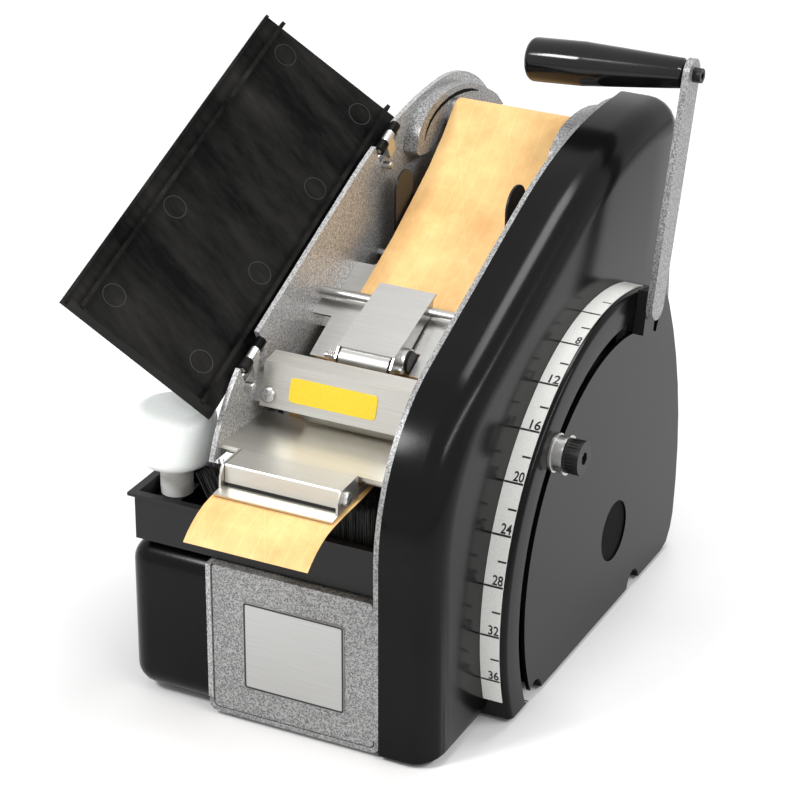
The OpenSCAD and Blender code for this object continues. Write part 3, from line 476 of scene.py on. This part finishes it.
# Round marks that the moulding tool left on the lid's inner face.
SLOPE, OPEN = math.radians(23.4), math.radians(138.5)
lid_turn = Matrix.Rotation(SLOPE, 3, "X") @ Matrix.Rotation(-OPEN, 3, "Y")
lid_base = mm(-50.7, 10.012, 189.421)
LID_RISE = 7.4
LID_MARKS = ((81.2, 99.6), (19.2, 170.6), (20.2, 98.5), (82.0, 27.0), (21.2, 26.4),
             (20.6, 235.0), (76.9, 236.0))
for i, (w, u) in enumerate(LID_MARKS):
    c = lid_base + lid_turn @ (Vector((w, u, LID_RISE)) / MM)
    disk("lid_mark_%d" % (i + 1), c, lid_turn @ Vector((0, 0, -1)), 0.0072, 0.00015, "lid",
         M["lid_mark"], 40, r_in=0.0066)

# The brush: fine strands that fan out towards the tank's free end.
COLS, ROWS = 96, 14
RINGS, SIDES, STRAND_R = 3, 3, 0.30
INSET, BASE_H, BASE_EDGE = 1.0, 2.0, 0.9


def strand(vs, fs, x, y, lean_x, lean_y, h, turn):
    """One tapered strand from the holder's underside, in millimetres."""
    k = len(vs)
    for q in range(RINGS):
        t = q / (RINGS - 1)
        bend = t * (0.75 + 0.25 * t)
        cx, cy, cz = x + lean_x * h * bend, y + lean_y * h * bend, top_z + h * t
        w = STRAND_R * (1 - 0.55 * t)
        for e in range(SIDES):
            a = 2 * math.pi * e / SIDES + turn
            vs.append(Vector((cx + w * math.cos(a), cy + w * math.sin(a), cz)) / MM)
    for q in range(RINGS - 1):
        for e in range(SIDES):
            m = (e + 1) % SIDES
            p = k + SIDES * q
            fs.append((p + e, p + m, p + SIDES + m, p + SIDES + e))
    last = k + SIDES * (RINGS - 1)
    fs.append((k, k + 2, k + 1))
    fs.append((last, last + 1, last + 2))


blo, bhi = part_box("brush_holder")
rng = random.Random(7)
vs, fs = [], []
x0, x1 = blo.x * MM + INSET, bhi.x * MM - INSET
y0, y1 = blo.y * MM + INSET, bhi.y * MM - INSET
tip_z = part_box("brush_bristles")[1].z * MM - 0.2
top_z = bhi.z * MM
for i in range(COLS):
    for j in range(ROWS):
        f = i / (COLS - 1)
        g = j / (ROWS - 1)
        x = x0 + (x1 - x0) * min(max(f + rng.uniform(-0.4, 0.4) / COLS, 0), 1)
        y = y0 + (y1 - y0) * min(max(g + rng.uniform(-0.4, 0.4) / ROWS, 0), 1)
        lean_x = math.tan(math.radians(3 - 22 * (1 - f) ** 2 + rng.uniform(-2.5, 2.5)))
        lean_y = math.tan(math.radians(-6.5 + 13 * g + rng.uniform(-0.8, 0.8)))
        strand(vs, fs, x, y, lean_x, lean_y, (tip_z - top_z) * rng.uniform(0.93, 1.0), i)
k = len(vs)
x0, x1, y0, y1 = x0 - BASE_EDGE, x1 + BASE_EDGE, y0 - BASE_EDGE, y1 + BASE_EDGE
for z in (top_z, top_z + BASE_H):
    for x, y in ((x0, y0), (x1, y0), (x1, y1), (x0, y1)):
        vs.append(Vector((x, y, z)) / MM)
fs += [(k + 3, k + 2, k + 1, k), (k + 4, k + 5, k + 6, k + 7), (k, k + 1, k + 5, k + 4),
       (k + 1, k + 2, k + 6, k + 5), (k + 2, k + 3, k + 7, k + 6), (k + 3, k, k + 4, k + 7)]
strands = piece("brush_strands", vs, fs, "tank", M["bristle"])
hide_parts("brush_bristles")

# Painted shadow: a dark strip in the gap between the heater block and the bracket under it, where
# shade falls.
SHADOW_GAP_HALF = 35.0
SHADOW_GAP_ENDS = ((-9.0, 157.3), (-9.35, 157.5), (-9.3, 159.1), (-8.9, 159.3))
vs = [mm(x, y, z) for x in (-SHADOW_GAP_HALF, SHADOW_GAP_HALF) for y, z in SHADOW_GAP_ENDS]
fs = [(3, 2, 1, 0), (4, 5, 6, 7), (0, 1, 5, 4), (1, 2, 6, 5), (2, 3, 7, 6), (3, 0, 4, 7)]
piece("heater_painted_shadow", vs, fs, "heater", M["black_matte"])

# Painted shadow: a dark curved strip on the left bracket's face, where a shadow line falls.
CURVE = [(252.0, 268.2), (254.5, 273.2), (259.0, 277.4), (266, 280.9), (275, 283.2), (285, 284.1),
         (296, 283.8), (307, 282.2), (318, 279.4), (328, 275.6)]
BRACKET_X = -42.1
SHADOW_LINE_HALF = 1.25
vs, fs = [], []
for i, (y, z) in enumerate(CURVE):
    p, q = CURVE[max(i - 1, 0)], CURVE[min(i + 1, len(CURVE) - 1)]
    d = Vector((q[0] - p[0], q[1] - p[1])).normalized()
    w = SHADOW_LINE_HALF * min(1.0, 0.25 + i * 0.5, 0.25 + (len(CURVE) - 1 - i) * 0.4)
    for x in (BRACKET_X - 0.02, BRACKET_X + 0.05):
        vs.append(mm(x, y - d[1] * w, z + d[0] * w))
        vs.append(mm(x, y + d[1] * w, z - d[0] * w))
for i in range(len(CURVE) - 1):
    k = 4 * i
    fs += [(k + 2, k + 3, k + 7, k + 6), (k, k + 2, k + 6, k + 4), (k + 3, k + 1, k + 5, k + 7),
           (k + 1, k, k + 4, k + 5)]
k = 4 * (len(CURVE) - 1)
fs += [(0, 1, 3, 2), (k, k + 2, k + 3, k + 1)]
piece("bracket_painted_shadow", vs, fs, "frame", M["dimple"])

# The front plate's printed border.
pl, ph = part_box("name_plate")


def ring_outline(inset, r, n=6):
    """A rounded outline inside the plate's edge, in metres."""
    x0, z0, x1, z1 = pl.x + inset + r, pl.z + inset + r, ph.x - inset - r, ph.z - inset - r
    out = []
    for cx, cz, a0 in ((x1, z1, 0), (x0, z1, 90), (x0, z0, 180), (x1, z0, 270)):
        for i in range(n + 1):
            a = math.radians(a0 + 90 * i / n)
            out.append((cx + r * math.cos(a), cz + r * math.sin(a)))
    return out


outer = ring_outline(0.0002, 0.0018)
inner = ring_outline(0.0014, 0.0010)
n = len(outer)
verts = [(x, pl.y - h, z) for h in (-0.00002, 0.00004) for x, z in outer + inner]
faces = []
for i in range(n):
    j = (i + 1) % n
    faces.append((2 * n + i, 2 * n + j, 3 * n + j, 3 * n + i))
    faces.append((i, j, 2 * n + j, 2 * n + i))
    faces.append((n + j, n + i, 3 * n + i, 3 * n + j))
    faces.append((n + i, n + j, j, i))
piece("plate_border", verts, faces, "frame", M["print_black"])

# ---------------------------------------------------------------- camera

AZ, EL, ROLL = math.radians(26.5), math.radians(26.0), math.radians(0.2)
TARGET, DISTANCE = mm(67.5, 0, 228), 1.580
back = Vector((math.sin(AZ) * math.cos(EL), -math.cos(AZ) * math.cos(EL), math.sin(EL)))
right = Vector((math.cos(AZ), math.sin(AZ), 0.0))
up = back.cross(right)
r2 = right * math.cos(ROLL) + up * math.sin(ROLL)
u2 = up * math.cos(ROLL) - right * math.sin(ROLL)
cam_data = bpy.data.cameras.new("camera")
cam_data.lens = 135.0
cam_data.sensor_width = 36.0
cam_data.clip_start, cam_data.clip_end = 0.05, 50.0
cam = bpy.data.objects.new("camera", cam_data)
cam.matrix_world = Matrix.Translation(TARGET + back * DISTANCE) @ Matrix(
    (r2, u2, back)).transposed().to_4x4()
bpy.context.scene.collection.objects.link(cam)
bpy.context.scene.camera = cam

# ---------------------------------------------------------------- studio

def area(name, loc, target, size, power, size_y=None):
    """A rectangular lamp at loc that faces target."""
    d = bpy.data.lights.new(name, "AREA")
    d.energy = power
    d.shape = "RECTANGLE"
    d.size, d.size_y = size, size_y or size
    o = bpy.data.objects.new(name, d)
    o.location = loc
    o.rotation_mode = "QUATERNION"
    o.rotation_quaternion = (Vector(target) - Vector(loc)).to_track_quat("-Z", "Y")
    bpy.context.scene.collection.objects.link(o)


area("key", (-0.9, -1.3, 1.7), (0, 0, 0.12), 0.5, 24.0, 0.4)
area("fill", (1.35, -0.25, 1.35), (0, 0, 0.15), 1.7, 14.0, 0.1)
area("top", (0.1, 0.5, 2.0), (0, 0, 0.1), 0.6, 16.0)

floor_mesh = bpy.data.meshes.new("floor")
floor_mesh.from_pydata([(-6, -6, 0), (6, -6, 0), (6, 6, 0), (-6, 6, 0)], [], [(0, 1, 2, 3)])
floor = bpy.data.objects.new("floor", floor_mesh)
bpy.context.scene.collection.objects.link(floor)
floor_mat = Mat("floor", 0.9)
floor_mat.colour(floor_mat.ramp(floor_mat.noise(3.0), (0.3, grey(0.90)), (0.7, grey(0.94))))
floor_mesh.materials.append(floor_mat.m)

world = bpy.data.worlds.new("world")
bpy.context.scene.world = world
world.use_nodes = True
wt = world.node_tree
bg = wt.nodes["Background"]
bg.inputs["Color"].default_value = (1, 1, 1, 1)
# What the camera, gloss and glass see is white; the light on the object is weaker.
lp = wt.nodes.new("ShaderNodeLightPath")
seen = lp.outputs["Is Camera Ray"]
for ray in ("Is Glossy Ray", "Is Transmission Ray"):
    either = wt.nodes.new("ShaderNodeMath")
    either.operation = "MAXIMUM"
    wt.links.new(seen, either.inputs[0])
    wt.links.new(lp.outputs[ray], either.inputs[1])
    seen = either.outputs[0]
mr = wt.nodes.new("ShaderNodeMapRange")
wt.links.new(seen, mr.inputs["Value"])
mr.inputs["To Min"].default_value = 0.62
mr.inputs["To Max"].default_value = 1.0
wt.links.new(mr.outputs["Result"], bg.inputs["Strength"])

bpy.context.scene.view_settings.view_transform = "Standard"
